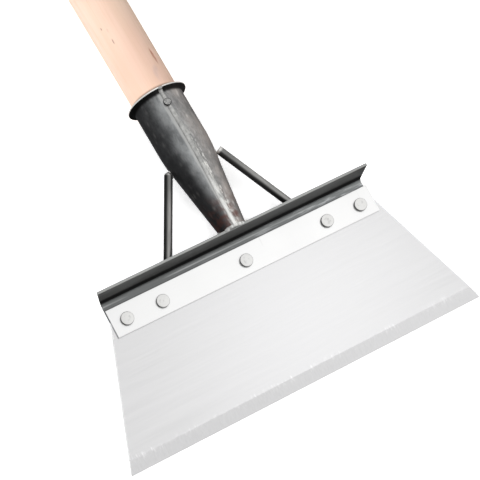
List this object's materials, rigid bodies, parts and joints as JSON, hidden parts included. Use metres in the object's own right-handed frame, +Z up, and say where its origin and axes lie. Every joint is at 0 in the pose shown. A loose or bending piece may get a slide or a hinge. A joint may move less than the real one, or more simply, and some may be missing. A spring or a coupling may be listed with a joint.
{
  "type": "floor scraper",
  "caption": "Long-handled floor scraper: a trapezoid steel blade riveted between a clamp strip and an angle bar, with a braced, welded socket on a round wooden handle.",
  "frame": {"origin": "middle of the bounding box's base, with the tool lying face up on the floor on its cutting edge and the butt of its handle", "axes": "+X along the cutting edge, +Y from the cutting edge to the butt of the handle, +Z up; the blade's front face, with the rivet heads, looks up"},
  "size_m": [0.3, 1.3624, 0.0496],
  "materials": {
    "blade_steel": "satin, brushed along the cutting edge, with a ground bevel",
    "strip_steel": "bright, nearly white, lightly scuffed",
    "black_steel": "dark mill scale, bare and satin on worn edges",
    "weld_steel": "as welded, brushed, with a slight heat tint",
    "rivet_steel": "light grey, matt, hammered",
    "handle_wood": "pale, planed and sanded, oiled, fine straight grain"
  },
  "bodies": {
    "root": {"blade": "blade_steel", "clamp_strip": "strip_steel", "angle_bar": "black_steel", "blade_rivet_left_outer": "rivet_steel", "blade_rivet_left_inner": "rivet_steel", "blade_rivet_middle": "rivet_steel", "blade_rivet_right_inner": "rivet_steel", "blade_rivet_right_outer": "rivet_steel", "socket": "black_steel", "seam_weld_lower": "weld_steel", "seam_weld_upper": "weld_steel", "socket_rivet": "weld_steel", "handle": "handle_wood", "brace_left": "black_steel", "brace_left_foot_weld": "weld_steel", "brace_left_top_weld": "weld_steel", "brace_right": "black_steel", "brace_right_foot_weld": "weld_steel", "brace_right_top_weld": "weld_steel", "socket_weld_front": "weld_steel", "socket_weld_back": "weld_steel"}
  },
  "joints": []
}
